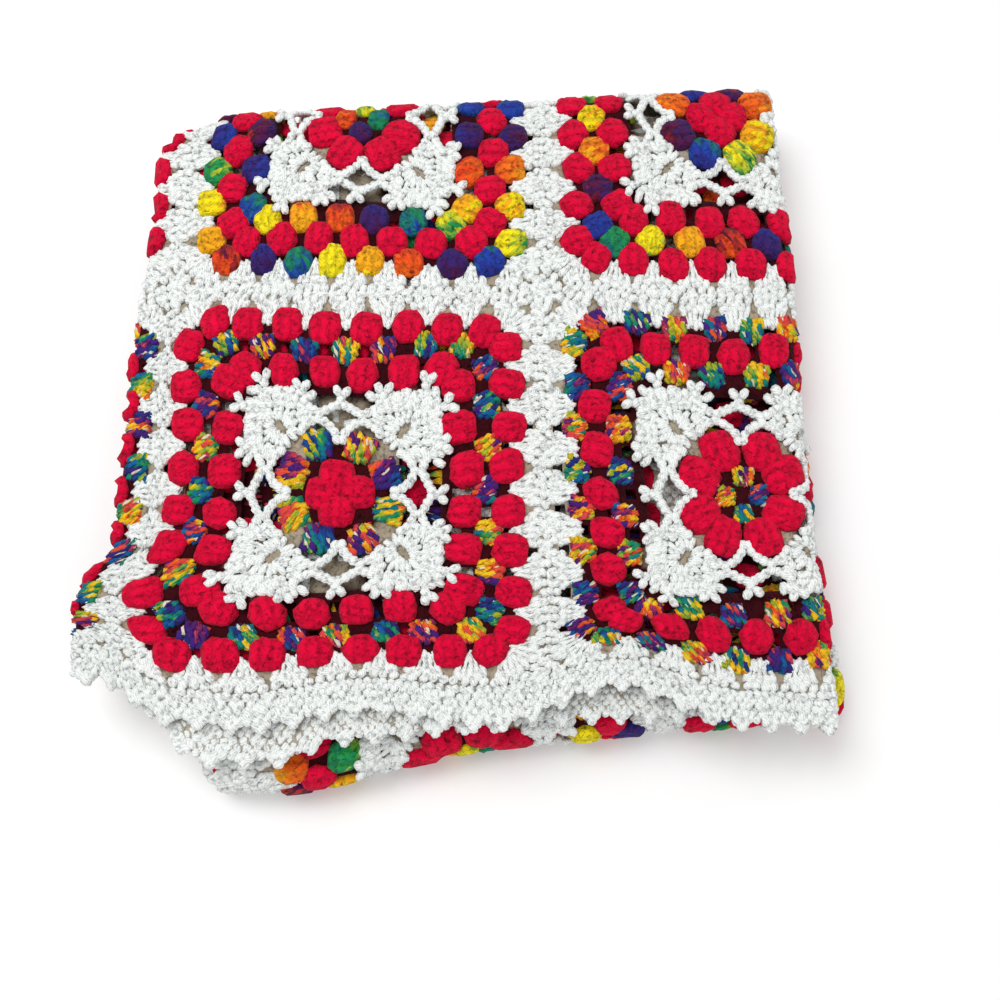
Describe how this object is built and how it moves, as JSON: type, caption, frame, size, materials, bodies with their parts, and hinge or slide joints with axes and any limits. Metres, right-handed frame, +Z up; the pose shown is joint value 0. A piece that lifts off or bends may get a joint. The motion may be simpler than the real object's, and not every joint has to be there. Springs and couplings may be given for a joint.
{
  "type": "folded granny square blanket",
  "caption": "Crocheted blanket of joined granny squares with a white picot edging, folded into a flat stack.",
  "frame": {"origin": "centre of the folded stack's footprint, on the surface it lies on", "axes": "+Z up through the layers, +X across the stack, -Y towards the edge of the blanket that lies on top"},
  "size_m": [0.4502, 0.466, 0.0599],
  "materials": {
    "squares_yarn": "crocheted wool-like yarn, red, variegated and white",
    "edging_yarn": "crocheted wool-like yarn, white"
  },
  "bodies": {
    "root": {"joined_squares": "squares_yarn", "picot_edging": "edging_yarn"}
  },
  "joints": []
}
